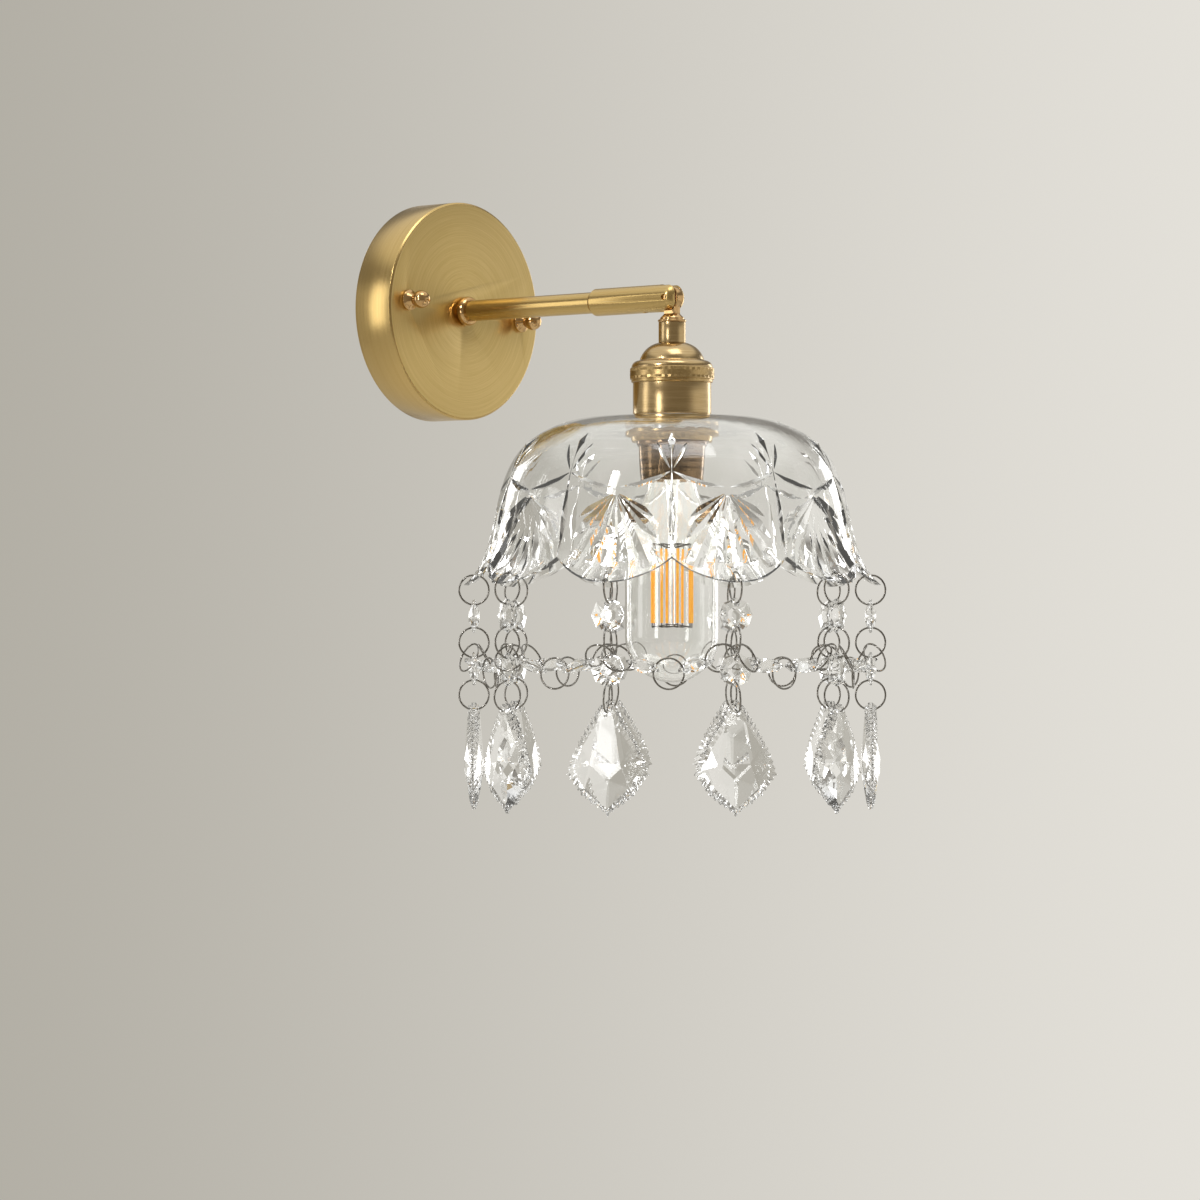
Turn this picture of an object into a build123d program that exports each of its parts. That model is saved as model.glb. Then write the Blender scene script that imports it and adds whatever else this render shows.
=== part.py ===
from build123d import *
from math import atan2, cos, degrees, radians, sin, sqrt, tan
import os

# Crystal wall sconce.  Millimetres, +Z up.  The wall is the plane Y = 0, the origin is the centre of the
# backplate's rear face, the arm points to -Y and the lamp head hangs from a knuckle at its end.

# ---- Wall plate ----
plate_radius = 60.0
plate_depth = 26.0
plate_wall = 1.5
plate_edge_bevel = 1.0
nut_spacing = 91.0            # between the two ball cap nuts
nut_tilt = 4.5                # the nuts' line, degrees clockwise seen from the front
stud_radius = 2.0
stud_clearance = 0.25
stud_head_radius = 3.6
stud_head_height = 1.6
stud_slot_sweep = 18.0         # degrees of the bracket's curved slots
stud_nut_width = 7.0          # across flats
stud_nut_height = 3.2
cap_nut_ball_radius = 4.9
cap_nut_flange_radius = 5.6
cap_nut_standoff = 9.6        # ball centre in front of the plate's face
cap_nut_flange_height = 1.6
cap_nut_cone_radius = 4.4
cap_nut_cone_height = 2.4
cap_nut_neck_radius = 2.9
cap_nut_neck_height = 4.6

# ---- Bracket behind the plate ----
bracket_thickness = 2.0
bracket_width = 26.0
bracket_joggle = 6.0          # how far the bracket's ends stand off the wall
bracket_centre_half = 33.0    # half of the stretch that lies on the wall
bracket_half_length = 53.0
wall_slot_spacing = 50.0
wall_slot_width = 4.6
wall_slot_length = 12.0
cable_hole_radius = 8.0
earth_screw_radius = 2.0
earth_screw_place = (13.5, 8.5)
earth_screw_end = 0.5         # past the strip
earth_head_radius = 3.6
earth_head_height = 2.4
earth_slot_width = 0.9
terminal_size = (22.0, 9.0, 11.0)
terminal_drop = 13.7          # terminal block's centre below the bracket's centre line
terminal_count = 3
terminal_hole_radius = 1.9
terminal_hole_depth = 5.0

# ---- Arm ----
arm_reach = 175.4             # wall to the knuckle's pin
arm_tube_radius = 5.75
arm_bore_radius = 4.2
arm_ring_radius = 8.0
arm_ring_length = 5.0
arm_ring_crown = 1.2          # how far the ring's middle bulges past its ends
nipple_radius = 4.1
nipple_bore_radius = 2.9
nipple_tail = 1.5             # past the lock nut, behind the plate
nipple_grip = 12.0            # in the arm tube
lock_nut_width = 14.0         # across flats
lock_nut_height = 4.0
lock_washer_radius = 8.5
lock_washer_height = 0.8
lock_washer_notches = 10
lock_washer_notch_radius = 0.9
sleeve_radius = 7.35
sleeve_length = 54.4          # from its rear end to the knuckle's pin
tube_set_back = 25.4          # from the arm tube's end to the pin
fork_past_pin = 4.6
fork_round = 4.5              # the fork's rounded end
sleeve_bevel = 1.2
grub_hole_radius = 2.2
grub_hole_set_back = 8.0
fit_clearance = 0.05

# ---- Knuckle ----
tongue_thickness = 4.8
tongue_eye_radius = 6.0
washer_thickness = 0.5
washer_gap = 0.05
washer_radius = 4.6
pin_radius = 1.6
pin_head_radius = 3.0
pin_head_height = 1.2
stem_half_width = 3.5
block_top = 8.6               # depths below the pin, here and in the socket
block_bottom = 11.6
block_top_radius = 4.2
block_bottom_radius = 6.4

# ---- Socket ----
neck_ring_radius = 7.6
neck_ring_bottom = 13.1
neck_radius = 7.2
neck_bottom = 24.0
neck_nipple_grip = 6.0        # in the cap
dome_radius = 17.2
dome_bottom = 33.3
cap_wall = 1.2
shoulder_radius = 21.6
collar_top = 37.3
collar_radius = 22.35
collar_band_bottom = 43.6
shell_top = 45.2
shell_radius = 20.8
shell_bottom = 62.2
holder_radius = 19.0
holder_top = dome_bottom + 3.0
holder_floor = 60.0
holder_bottom = 97.0
holder_foot_radius = 16.6
gasket_thickness = 1.0
shade_ring_height = 7.5
shade_ring_radius = 25.0

# ---- Bulb ----
contact_shell_radius = 14.6
contact_shell_wall = 0.6
contact_shell_length = 33.0
contact_shell_gap = 0.5
bulb_cap_radius = 13.2
bulb_cap_top = 66.0
bulb_cap_bottom = 92.0
bulb_cap_wall = 0.5
insulator_height = 2.4
bulb_base_tip_radius = 3.2
bulb_base_tip_height = 1.6
bulb_seat = bulb_cap_bottom - 6.0
bulb_neck_bottom = bulb_cap_bottom + 3.0
bulb_shoulder = bulb_cap_bottom + 38.0
bulb_radius = 25.0
bulb_bottom = 204.0
bulb_wall = 1.0
filament_count = 8
filament_circle = 8.5
filament_radius = 0.8
filament_top = 133.0
filament_bottom = 173.0
filament_wire_height = 0.8
filament_wire_width = 0.6
stem_radius = 1.4

# ---- Pressed-glass shade ----
panel_count = 10
rib_azimuth = 220.0           # a rib's direction, degrees from +X
shade_hole_radius = 19.7
shade_top = shell_bottom + gasket_thickness
shade_wall = 3.5
rim_radius = 110.5
rim_wall = 2.8
notch_depth = 139.0
scallop_drop = 13.5           # from the notches down to the scallops' lowest points
rim_hole_radius = 1.9
rim_hole_rise = 6.0           # above a scallop's lowest point
scallop_depth = notch_depth + scallop_drop
rim_hole_depth = scallop_depth - rim_hole_rise

# ---- Cuts and ridges of the shade ----
fan_rise = 33.0               # a fan's point above the notches
fan_spread = 14.0             # degrees between neighbouring cuts of a fan
fan_cut_lengths = (56.0, 55.0, 46.0, 34.0, 24.0)   # from the middle cut to the outermost
fan_cut_depth = 1.9
fan_start = 2.2               # from the fan's point to where its cuts begin
fan_rim_cuts = 2              # on each side of the middle cut, how many run out at the rim
fan_slope = 0.93              # depth gained for each millimetre along the bell there
garland_rise = 11.0           # the garland cuts' ends at the ribs, above the fans' points
garland_sag = 8.5
garland_width = 1.9           # half widths, here and below
garland_cut_depth = 1.2
spur_height = 13.0
spur_gap = 1.5                # above the garland's ends
spur_foot = 0.48              # shares of a panel from its middle, to the spurs' feet and tips
spur_tip = 0.35
spur_width = 1.3
spur_cut_depth = 1.0
ridge_width = 2.4
ridge_height = 1.9
cut_end_width = 0.4           # where a cut or ridge runs out
cut_clearance = 0.4           # how far a cutter stands proud of the glass
cut_root = 1.6

# ---- Crystal strings ----
string_inset = 5.5            # the strings' circle inside the rim
ring_radius = 8.0             # to the middle of the wire
wire_radius = 0.5
ring_sides = 12
bead_radius = 8.8
bead_half_thickness = 2.8
bead_flat_reach = 8.1
bead_peak = 4.3               # where the side facets would meet over the bead's centre
bead_corner_peak = 4.0
bead_girdle = 1.0
bead_sides = 8
bead_hole_offset = 5.6
bead_hole_radius = 1.5
link_gap = 0.7
hook_gap = 0.55
rim_wire_gap = 0.95
swag_hook_angle = 50.0        # where a swag's end ring hooks the junction ring, below the radial line
end_ring_turn = 60.0          # that ring's turn about the swag, from level
swag_twist = 15.0             # each link's further turn
pendant_height = 58.5
pendant_half_thickness = 5.2
pendant_peak = 6.0            # where the main facets would meet
pendant_edge_peak = 7.6       # where the steeper facets at the edge would meet
pendant_girdle = 2.4
leaf_border = 1.6             # flat border along the edge
leaf_notch_radius = 1.1
leaf_notch_pitch = 3.4
leaf_notch_top = -1.0         # no notches round the hole, above this
pendant_hole_offset = 5.0
pendant_hole_radius = 1.5
pendant_wire_gap = 0.55

os.makedirs("parts", exist_ok=True)

up = Vector(0, 0, 1)
head_origin = Vector(0, -arm_reach, 0)
head_axis = Axis((0, -arm_reach, 0), (0, 0, 1))
head_plane = Plane(origin=(0, -arm_reach, 0), x_dir=(1, 0, 0), z_dir=(0, -1, 0))
face_y = -plate_depth


def outward_at(azimuth):
    """Level direction away from the head's axis."""
    return Vector(cos(radians(azimuth)), sin(radians(azimuth)), 0)


def level_plane(depth):
    """Level plane on the head's axis, a depth below the knuckle's pin."""
    return Plane(origin=(0, -arm_reach, -depth), x_dir=(1, 0, 0), z_dir=(0, 0, 1))


def wall_plane(distance):
    """Plane parallel to the wall, a distance in front of it: local x is +X, local y is up."""
    return Plane(origin=(0, -distance, 0), x_dir=(1, 0, 0), z_dir=(0, -1, 0))


nut_points = []
for side in (-1, 1):
    nut_x = side * nut_spacing / 2 * cos(radians(nut_tilt))
    nut_z = -side * nut_spacing / 2 * sin(radians(nut_tilt))
    nut_points.append((nut_x, nut_z))

# ---- Backplate: a spun brass cup, open to the wall ----
with BuildPart() as backplate:
    with BuildSketch(Plane.XY):
        with BuildLine():
            Polyline(
                (nipple_radius + stud_clearance, face_y),
                (plate_radius - plate_edge_bevel, face_y),
                (plate_radius, face_y + plate_edge_bevel),
                (plate_radius, 0),
                (plate_radius - plate_wall, 0),
                (plate_radius - plate_wall, face_y + plate_wall),
                (nipple_radius + stud_clearance, face_y + plate_wall),
                close=True,
            )
        make_face()
    revolve(axis=Axis.Y)
    with BuildSketch(wall_plane(plate_depth)):
        with Locations(*nut_points):
            Circle(stud_radius + stud_clearance)
    extrude(amount=-2 * plate_wall, mode=Mode.SUBTRACT)
backplate.part.label = "backplate"

# ---- Mounting bracket: a joggled strip, its middle on the wall and its ends stood off ----
with BuildPart() as mounting_bracket:
    with BuildSketch(Plane.XY):
        with BuildLine():
            step_end = bracket_centre_half + bracket_joggle
            Polyline(
                (-bracket_half_length, -bracket_joggle),
                (-step_end, -bracket_joggle),
                (-bracket_centre_half, 0),
                (bracket_centre_half, 0),
                (step_end, -bracket_joggle),
                (bracket_half_length, -bracket_joggle),
                (bracket_half_length, -bracket_joggle - bracket_thickness),
                (step_end - bracket_thickness / 2, -bracket_joggle - bracket_thickness),
                (bracket_centre_half - bracket_thickness / 2, -bracket_thickness),
                (-bracket_centre_half + bracket_thickness / 2, -bracket_thickness),
                (-step_end + bracket_thickness / 2, -bracket_joggle - bracket_thickness),
                (-bracket_half_length, -bracket_joggle - bracket_thickness),
                close=True,
            )
        make_face()
    extrude(amount=bracket_width / 2, both=True)
    with BuildSketch(wall_plane(0)):
        Circle(cable_hole_radius)
        with Locations((-wall_slot_spacing / 2, 0), (wall_slot_spacing / 2, 0)):
            SlotOverall(wall_slot_length, wall_slot_width)
        with Locations(earth_screw_place):
            Circle(earth_screw_radius + fit_clearance)
        for nut_x, nut_z in nut_points:
            with BuildLine(mode=Mode.PRIVATE) as stud_arc:
                slot_start = degrees(atan2(nut_z, nut_x)) - stud_slot_sweep / 2
                CenterArc((0, 0), nut_spacing / 2, slot_start, stud_slot_sweep)
            SlotArc(stud_arc.edges()[0], 2 * (stud_radius + stud_clearance))
    extrude(amount=2 * bracket_joggle, mode=Mode.SUBTRACT)
mounting_bracket.part.label = "mounting_bracket"

# ---- Studs and their nuts ----
stud_start = bracket_joggle - stud_head_height
stud_end = plate_depth + cap_nut_standoff - 1.0
with BuildPart() as bracket_studs:
    with BuildSketch(wall_plane(stud_start)):
        with Locations(*nut_points):
            Circle(stud_head_radius)
    extrude(amount=stud_head_height)
    with BuildSketch(wall_plane(bracket_joggle)):
        with Locations(*nut_points):
            Circle(stud_radius)
    extrude(amount=stud_end - bracket_joggle)
bracket_studs.part.label = "bracket_studs"

with BuildPart() as stud_lock_nuts:
    with BuildSketch(wall_plane(bracket_joggle + bracket_thickness)):
        with Locations(*nut_points):
            RegularPolygon(stud_nut_width / 2, 6, major_radius=False)
            Circle(stud_radius + fit_clearance, mode=Mode.SUBTRACT)
    extrude(amount=stud_nut_height)
stud_lock_nuts.part.label = "stud_lock_nuts"

with BuildPart() as cap_nuts:
    for nut_x, nut_z in nut_points:
        nut_axis = Axis((nut_x, 0, nut_z), (0, 1, 0))
        ball_y = face_y - cap_nut_standoff
        neck_y = face_y - cap_nut_neck_height
        ball_start = ball_y + sqrt(cap_nut_ball_radius**2 - cap_nut_neck_radius**2)
        with BuildSketch(Plane((nut_x, 0, nut_z), x_dir=(1, 0, 0), z_dir=(0, 0, 1))):
            with BuildLine():
                Polyline(
                    (stud_radius + fit_clearance, face_y),
                    (cap_nut_flange_radius, face_y),
                    (cap_nut_flange_radius, face_y - cap_nut_flange_height),
                    (cap_nut_cone_radius, face_y - cap_nut_cone_height),
                    (cap_nut_neck_radius, neck_y),
                    (cap_nut_neck_radius, ball_start),
                )
                ThreePointArc(
                    (cap_nut_neck_radius, ball_start),
                    (cap_nut_ball_radius, ball_y),
                    (0, ball_y - cap_nut_ball_radius),
                )
                Polyline(
                    (0, ball_y - cap_nut_ball_radius),
                    (0, -stud_end - fit_clearance),
                    (stud_radius + fit_clearance, -stud_end - fit_clearance),
                    (stud_radius + fit_clearance, face_y),
                )
            make_face()
        revolve(axis=nut_axis)
cap_nuts.part.label = "cap_nuts"

with BuildPart() as earth_screw:
    with BuildSketch(wall_plane(0)):
        with Locations(earth_screw_place):
            Circle(earth_screw_radius)
    extrude(amount=bracket_thickness + earth_screw_end)
    with BuildSketch(wall_plane(bracket_thickness)):
        with Locations(earth_screw_place):
            Circle(earth_head_radius)
    extrude(amount=earth_head_height)
    with BuildSketch(wall_plane(bracket_thickness + earth_head_height)):
        with Locations(earth_screw_place):
            Rectangle(3 * earth_head_radius, earth_slot_width)
    extrude(amount=-earth_head_height / 2, mode=Mode.SUBTRACT)
earth_screw.part.label = "earth_screw"

with BuildPart() as terminal_block:
    block_width, block_depth, block_height = terminal_size
    with BuildSketch(wall_plane(bracket_thickness)):
        with Locations((0, -terminal_drop)):
            RectangleRounded(block_width, block_height, 1.0)
    extrude(amount=block_depth)
    with BuildSketch(wall_plane(bracket_thickness + block_depth)):
        with Locations((0, -terminal_drop)):
            with GridLocations(block_width / terminal_count, 1, terminal_count, 1):
                Circle(terminal_hole_radius)
    extrude(amount=-terminal_hole_depth, mode=Mode.SUBTRACT)
terminal_block.part.label = "terminal_block"

# ---- Arm: nipple through the plate, root ring, tube and sleeve with the fork ----
nipple_start = plate_depth - plate_wall - lock_washer_height - lock_nut_height - nipple_tail
nipple_end = plate_depth + nipple_grip
with BuildPart() as arm_nipple:
    with BuildSketch(wall_plane(nipple_start)):
        Circle(nipple_radius)
        Circle(nipple_bore_radius, mode=Mode.SUBTRACT)
    extrude(amount=nipple_end - nipple_start)
arm_nipple.part.label = "arm_nipple"

washer_front = plate_depth - plate_wall
with BuildPart() as lock_washer:
    with BuildSketch(wall_plane(washer_front)):
        Circle(lock_washer_radius)
        with PolarLocations(lock_washer_radius, lock_washer_notches):
            Circle(lock_washer_notch_radius, mode=Mode.SUBTRACT)
        Circle(nipple_radius + fit_clearance, mode=Mode.SUBTRACT)
    extrude(amount=-lock_washer_height)
lock_washer.part.label = "lock_washer"

with BuildPart() as arm_lock_nut:
    with BuildSketch(wall_plane(washer_front - lock_washer_height)):
        RegularPolygon(lock_nut_width / 2, 6, major_radius=False)
        Circle(nipple_radius + fit_clearance, mode=Mode.SUBTRACT)
    extrude(amount=-lock_nut_height)
arm_lock_nut.part.label = "arm_lock_nut"

with BuildPart() as arm_tube:
    with BuildSketch(wall_plane(plate_depth)):
        Circle(arm_tube_radius)
        Circle(arm_bore_radius, mode=Mode.SUBTRACT)
    extrude(amount=arm_reach - tube_set_back - plate_depth)
arm_tube.part.label = "arm_tube"

with BuildPart() as arm_root_ring:
    ring_seat = arm_tube_radius + fit_clearance
    with BuildSketch(Plane.XY):
        with BuildLine():
            Line((ring_seat, face_y), (arm_ring_radius - arm_ring_crown, face_y))
            ThreePointArc(
                (arm_ring_radius - arm_ring_crown, face_y),
                (arm_ring_radius, face_y - arm_ring_length / 2),
                (arm_ring_radius - arm_ring_crown, face_y - arm_ring_length),
            )
            Polyline(
                (arm_ring_radius - arm_ring_crown, face_y - arm_ring_length),
                (ring_seat, face_y - arm_ring_length),
                (ring_seat, face_y),
            )
        make_face()
    revolve(axis=Axis.Y)
arm_root_ring.part.label = "arm_root_ring"

sleeve_start = arm_reach - sleeve_length
sleeve_bore_end = arm_reach - tube_set_back
fork_end = arm_reach + fork_past_pin
fork_middle = fork_round * (1 - cos(radians(45)))
slot_width = tongue_thickness + 2 * (washer_thickness + washer_gap)
with BuildPart() as arm_sleeve:
    with BuildSketch(Plane.XY):
        with BuildLine():
            Polyline(
                (ring_seat, -sleeve_start),
                (sleeve_radius - sleeve_bevel, -sleeve_start),
                (sleeve_radius, -sleeve_start - 1.5 * sleeve_bevel),
                (sleeve_radius, -fork_end + fork_round),
            )
            ThreePointArc(
                (sleeve_radius, -fork_end + fork_round),
                (sleeve_radius - fork_middle, -fork_end + fork_middle),
                (sleeve_radius - fork_round, -fork_end),
            )
            Polyline(
                (sleeve_radius - fork_round, -fork_end),
                (0, -fork_end),
                (0, -sleeve_bore_end - fit_clearance),
                (ring_seat, -sleeve_bore_end - fit_clearance),
                (ring_seat, -sleeve_start),
            )
        make_face()
    revolve(axis=Axis.Y)
    with BuildSketch(Plane.XY):
        with Locations((0, -fork_end)):
            Rectangle(slot_width, 2 * (fork_past_pin + tongue_eye_radius + 0.4))
    extrude(amount=sleeve_radius + 1, both=True, mode=Mode.SUBTRACT)
    with BuildSketch(Plane.YZ):
        with Locations((-arm_reach, 0)):
            Circle(pin_radius + fit_clearance)
    extrude(amount=sleeve_radius + 1, both=True, mode=Mode.SUBTRACT)
    with BuildSketch(Plane.XY):
        with Locations((0, -sleeve_bore_end - grub_hole_set_back)):
            Circle(grub_hole_radius)
    extrude(amount=-sleeve_radius - 1, mode=Mode.SUBTRACT)
arm_sleeve.part.label = "arm_sleeve"

pin_reach = sqrt(sleeve_radius**2 - pin_head_radius**2) - 0.4
with BuildPart() as knuckle_pin:
    with BuildSketch(Plane.YZ.offset(-pin_reach)):
        with Locations((-arm_reach, 0)):
            Circle(pin_radius)
    extrude(amount=2 * pin_reach)
knuckle_pin.part.label = "knuckle_pin"

with BuildPart() as knuckle_washers:
    for side in (-1, 1):
        inner_face = side * (tongue_thickness / 2 + washer_gap / 2)
        with BuildSketch(Plane.YZ.offset(inner_face)):
            with Locations((-arm_reach, 0)):
                Circle(washer_radius)
                Circle(pin_radius + fit_clearance, mode=Mode.SUBTRACT)
        extrude(amount=side * washer_thickness)
knuckle_washers.part.label = "knuckle_washers"

with BuildPart() as knuckle_tongue:
    with BuildSketch(Plane.YZ):
        with Locations((-arm_reach, 0)):
            Circle(tongue_eye_radius)
        with Locations((-arm_reach, -block_top / 2)):
            Rectangle(2 * stem_half_width, block_top + 1)
        with Locations((-arm_reach, 0)):
            Circle(pin_radius + fit_clearance, mode=Mode.SUBTRACT)
    extrude(amount=tongue_thickness / 2, both=True)
    with BuildSketch(head_plane):
        with BuildLine():
            Polyline(
                (0, -block_top),
                (block_top_radius, -block_top),
                (block_bottom_radius, -block_bottom + 0.8),
                (block_bottom_radius, -block_bottom),
                (0, -block_bottom),
                close=True,
            )
        make_face()
    revolve(axis=head_axis)
knuckle_tongue.part.label = "knuckle_tongue"

# ---- Neck and socket, turned and spun brass ----
with BuildPart() as neck_ring:
    with BuildSketch(head_plane):
        with BuildLine():
            Line((0, -block_bottom), (neck_ring_radius - 0.7, -block_bottom))
            ThreePointArc(
                (neck_ring_radius - 0.7, -block_bottom),
                (neck_ring_radius, -(block_bottom + neck_ring_bottom) / 2),
                (neck_ring_radius - 0.7, -neck_ring_bottom),
            )
            Polyline((neck_ring_radius - 0.7, -neck_ring_bottom), (0, -neck_ring_bottom), (0, -block_bottom))
        make_face()
    revolve(axis=head_axis)
neck_ring.part.label = "neck_ring"

with BuildPart() as neck_tube:
    with BuildSketch(level_plane(neck_ring_bottom)):
        Circle(neck_radius)
        Circle(nipple_radius + fit_clearance, mode=Mode.SUBTRACT)
    extrude(amount=-(neck_bottom - neck_ring_bottom))
neck_tube.part.label = "neck_tube"

with BuildPart() as neck_nipple:
    with BuildSketch(level_plane(neck_ring_bottom)):
        Circle(nipple_radius)
        Circle(nipple_bore_radius, mode=Mode.SUBTRACT)
    extrude(amount=-(neck_bottom + neck_nipple_grip - neck_ring_bottom))
neck_nipple.part.label = "neck_nipple"

with BuildPart() as socket_cap:
    with BuildSketch(head_plane):
        with BuildLine():
            Line((nipple_radius + fit_clearance, -neck_bottom), (neck_radius, -neck_bottom))
            ThreePointArc((neck_radius, -neck_bottom), (13.2, -26.9), (dome_radius, -dome_bottom))
            Line((dome_radius, -dome_bottom), (dome_radius + 1.6, -dome_bottom - 0.4))
            ThreePointArc(
                (dome_radius + 1.6, -dome_bottom - 0.4),
                (shoulder_radius - 0.9, -dome_bottom - 1.6),
                (shoulder_radius, -collar_top),
            )
            Polyline(
                (shoulder_radius, -collar_top),
                (shoulder_radius - cap_wall, -collar_top),
                (shoulder_radius - cap_wall, -dome_bottom - 2.4),
                (dome_radius - cap_wall, -dome_bottom - 1.4),
            )
            ThreePointArc(
                (dome_radius - cap_wall, -dome_bottom - 1.4),
                (12.4, -28.0),
                (6.8, -neck_bottom - cap_wall),
            )
            Polyline(
                (6.8, -neck_bottom - cap_wall),
                (nipple_radius + fit_clearance, -neck_bottom - cap_wall),
                (nipple_radius + fit_clearance, -neck_bottom),
            )
        make_face()
    revolve(axis=head_axis)
socket_cap.part.label = "socket_cap"

collar_inner = holder_radius + fit_clearance
with BuildPart() as knurled_collar:
    with BuildSketch(head_plane):
        with BuildLine():
            Polyline(
                (collar_inner, -collar_top),
                (collar_radius - 0.5, -collar_top),
                (collar_radius, -collar_top - 0.5),
                (collar_radius, -collar_band_bottom),
                (collar_radius - 0.7, -collar_band_bottom),
                (collar_radius - 0.7, -shell_top + 0.3),
                (collar_radius - 1.0, -shell_top),
                (collar_inner, -shell_top),
                close=True,
            )
        make_face()
    revolve(axis=head_axis)
knurled_collar.part.label = "knurled_collar"

with BuildPart() as socket_shell:
    with BuildSketch(head_plane):
        with BuildLine():
            Polyline(
                (collar_inner, -shell_top),
                (shell_radius, -shell_top),
                (shell_radius, -shell_bottom + 0.4),
                (shell_radius - 0.4, -shell_bottom),
                (collar_inner, -shell_bottom),
                close=True,
            )
        make_face()
    revolve(axis=head_axis)
socket_shell.part.label = "socket_shell"

holder_bore = contact_shell_radius + fit_clearance
with BuildPart() as lampholder_body:
    with BuildSketch(head_plane):
        with BuildLine():
            Polyline(
                (0, -holder_top),
                (holder_radius - 3, -holder_top),
                (holder_radius, -holder_top - 2),
                (holder_radius, -shade_top - shade_wall - shade_ring_height - 1.5),
                (holder_radius - 1.2, -shade_top - shade_wall - shade_ring_height - 2.5),
                (holder_foot_radius, -holder_bottom),
                (holder_bore, -holder_bottom),
                (holder_bore, -holder_floor),
                (0, -holder_floor),
                close=True,
            )
        make_face()
    revolve(axis=head_axis)
lampholder_body.part.label = "lampholder_body"

with BuildPart() as screw_contact_shell:
    with BuildSketch(head_plane):
        shell_middle = holder_floor + contact_shell_gap + contact_shell_length / 2
        with Locations((contact_shell_radius - contact_shell_wall / 2, -shell_middle)):
            Rectangle(contact_shell_wall, contact_shell_length)
    revolve(axis=head_axis)
screw_contact_shell.part.label = "screw_contact_shell"

contact_tip = bulb_cap_top - insulator_height - bulb_base_tip_height
with BuildPart() as centre_contact:
    with BuildSketch(Plane.YZ):
        with BuildLine():
            Polyline(
                (-arm_reach - 7, -holder_floor),
                (-arm_reach + 7, -holder_floor),
                (-arm_reach + 7, -holder_floor - 0.6),
                (-arm_reach + 3, -holder_floor - 0.6),
                (-arm_reach + 2, -contact_tip),
                (-arm_reach - 2, -contact_tip),
                (-arm_reach - 3, -holder_floor - 0.6),
                (-arm_reach - 7, -holder_floor - 0.6),
                close=True,
            )
        make_face()
    extrude(amount=2.0, both=True)
centre_contact.part.label = "centre_contact"

# ---- Shade fixing: a gasket each side of the glass and the threaded ring below ----
lower_gasket_top = shade_top + shade_wall
with BuildPart() as shade_gaskets:
    for gasket_top in (shell_bottom, lower_gasket_top):
        with BuildSketch(level_plane(gasket_top)):
            Circle(shell_radius - 0.2)
            Circle(holder_radius + fit_clearance, mode=Mode.SUBTRACT)
        extrude(amount=-gasket_thickness)
shade_gaskets.part.label = "shade_gaskets"

ring_top = lower_gasket_top + gasket_thickness
with BuildPart() as shade_ring:
    with BuildSketch(head_plane):
        with BuildLine():
            Polyline(
                (holder_radius + fit_clearance, -ring_top),
                (shade_ring_radius, -ring_top),
                (shade_ring_radius, -ring_top - 2.0),
                (shade_ring_radius - 3.0, -ring_top - 3.0),
                (shade_ring_radius - 3.6, -ring_top - shade_ring_height + gasket_thickness),
                (holder_radius + fit_clearance, -ring_top - shade_ring_height + gasket_thickness),
                close=True,
            )
        make_face()
    revolve(axis=head_axis)
shade_ring.part.label = "shade_ring"

# ---- Bulb: clear glass with straight filament rods ----
with BuildPart() as bulb_cap:
    with BuildSketch(head_plane):
        with BuildLine():
            Polyline(
                (bulb_cap_radius - 5, -bulb_cap_top),
                (bulb_cap_radius - 2.5, -bulb_cap_top),
                (bulb_cap_radius, -bulb_cap_top - 3),
                (bulb_cap_radius, -bulb_cap_bottom),
                (bulb_cap_radius - bulb_cap_wall, -bulb_cap_bottom),
                (bulb_cap_radius - bulb_cap_wall, -bulb_cap_top - 3.2),
                (bulb_cap_radius - 2.7, -bulb_cap_top - bulb_cap_wall),
                (bulb_cap_radius - 5, -bulb_cap_top - bulb_cap_wall),
                close=True,
            )
        make_face()
    revolve(axis=head_axis)
bulb_cap.part.label = "bulb_cap"

with BuildPart() as bulb_cap_insulator:
    with BuildSketch(head_plane):
        with BuildLine():
            Polyline(
                (0, -bulb_cap_top + insulator_height),
                (4.5, -bulb_cap_top + insulator_height),
                (bulb_cap_radius - 5, -bulb_cap_top),
                (bulb_cap_radius - 5, -bulb_cap_top - bulb_cap_wall),
                (0, -bulb_cap_top - bulb_cap_wall),
                close=True,
            )
        make_face()
    revolve(axis=head_axis)
bulb_cap_insulator.part.label = "bulb_cap_insulator"

with BuildPart() as bulb_base_tip:
    with BuildSketch(level_plane(contact_tip)):
        Circle(bulb_base_tip_radius)
    extrude(amount=-bulb_base_tip_height)
bulb_base_tip.part.label = "bulb_base_tip"

bulb_neck_radius = bulb_cap_radius - bulb_cap_wall - fit_clearance
bulb_straight = bulb_bottom - bulb_radius


def bulb_profile(inset):
    """Half section of the bulb, drawn in from its outside by an inset."""
    neck = bulb_neck_radius - inset
    belly = bulb_radius - inset
    with BuildLine() as outline:
        Polyline((0, -bulb_seat - inset), (neck, -bulb_seat - inset), (neck, -bulb_neck_bottom))
        Spline((neck, -bulb_neck_bottom), (belly, -bulb_shoulder), tangents=((0, -1), (0, -1)))
        Line((belly, -bulb_shoulder), (belly, -bulb_straight))
        ThreePointArc(
            (belly, -bulb_straight),
            (belly * sin(radians(45)), -bulb_straight - belly * cos(radians(45))),
            (0, -bulb_straight - belly),
        )
        Line((0, -bulb_straight - belly), (0, -bulb_seat - inset))
    return outline.line


with BuildPart() as bulb_glass:
    with BuildSketch(head_plane):
        add(bulb_profile(0))
        make_face()
    revolve(axis=head_axis)
    with BuildSketch(head_plane):
        add(bulb_profile(bulb_wall))
        make_face()
    revolve(axis=head_axis, mode=Mode.SUBTRACT)
bulb_glass.part.label = "bulb_glass"

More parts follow.
